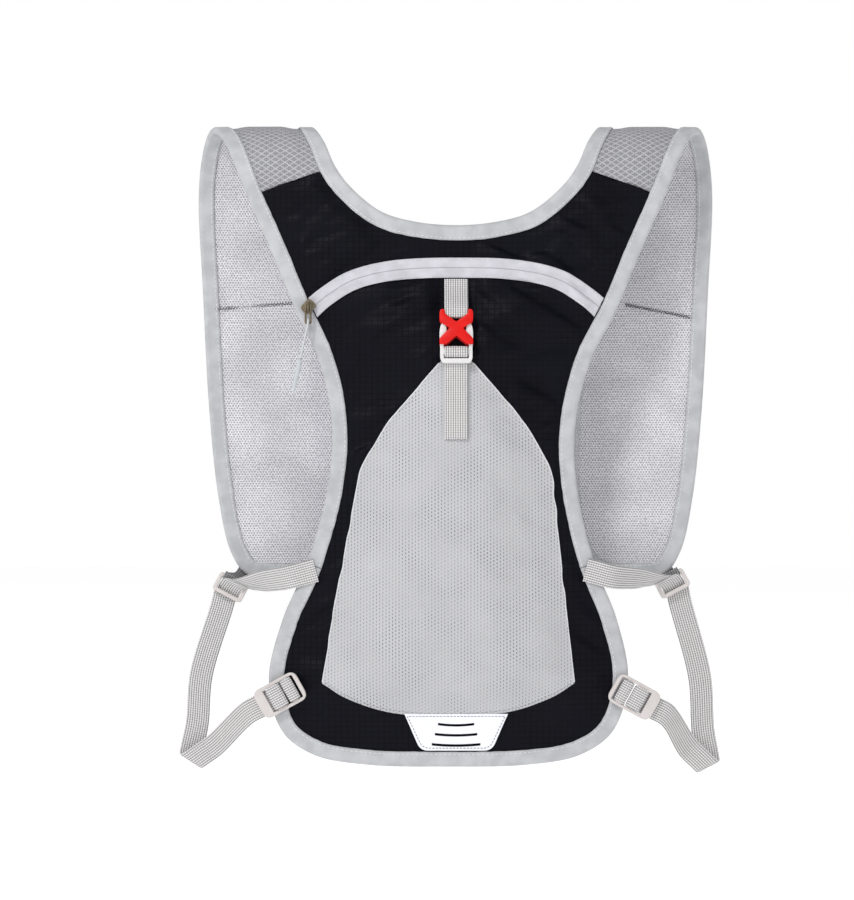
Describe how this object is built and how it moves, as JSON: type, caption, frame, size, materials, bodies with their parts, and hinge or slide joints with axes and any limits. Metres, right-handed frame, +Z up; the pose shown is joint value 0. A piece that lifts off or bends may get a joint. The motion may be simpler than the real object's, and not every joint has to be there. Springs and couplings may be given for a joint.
{
  "type": "running backpack",
  "caption": "Light vest-form running backpack with a zipped flat compartment, buckled mesh pocket, wide mesh shoulder straps and side adjusters.",
  "frame": {"origin": "half way between the two shoulder straps, at the height of the top of the shoulders and over the middle of the straps' arches", "axes": "+Z up, +X to the right of somebody who looks at the pack side, +Y from the pack towards the front panels (the way the wearer faces)"},
  "size_m": [0.3501, 0.0835, 0.4178],
  "materials": {
    "air_mesh": "fine ribbed air mesh",
    "black_cloth": "thin ripstop, slight sheen",
    "zip_tape": "woven tape",
    "zip_coil": "satin coil",
    "metal": "satin",
    "cord": "braided",
    "cord_end": "satin",
    "pocket_mesh": "stretch mesh with rows of dashes",
    "reflective": "smooth reflective",
    "webbing": "ribbed webbing",
    "tab_webbing": "ribbed webbing",
    "red_plastic": "glossy",
    "white_plastic": "satin",
    "hexagon_mesh": "open hexagon mesh",
    "binding": "folded woven tape"
  },
  "bodies": {
    "root": {"back_panel": "air_mesh", "strap_lining_left": "air_mesh", "strap_lining_right": "air_mesh", "yoke": "black_cloth", "lower_panel": "black_cloth", "zip_tape_upper": "zip_tape", "zip_tape_lower": "zip_tape", "zip_coil": "zip_coil", "zip_slider": "metal", "zip_pull_tab": "metal", "zip_cord": "cord", "zip_cord_end": "cord_end", "mesh_pocket": "pocket_mesh", "reflective_patch": "reflective", "webbing_upper": "webbing", "webbing_lower": "webbing", "waist_webbing_left": "webbing", "waist_webbing_right": "webbing", "adjuster_webbing_left": "webbing", "adjuster_webbing_right": "webbing", "lock_tab_left": "webbing", "lock_tab_right": "webbing", "ring_tab_left": "tab_webbing", "ring_tab_right": "tab_webbing", "buckle_socket": "red_plastic", "buckle_plug": "white_plastic", "ring_left": "white_plastic", "ring_right": "white_plastic", "ladder_lock_left": "white_plastic", "ladder_lock_right": "white_plastic", "strap_shell_left": "hexagon_mesh", "strap_shell_right": "hexagon_mesh", "neck_binding": "binding", "side_binding_left": "binding", "side_binding_right": "binding", "hem_binding": "binding"}
  },
  "joints": []
}
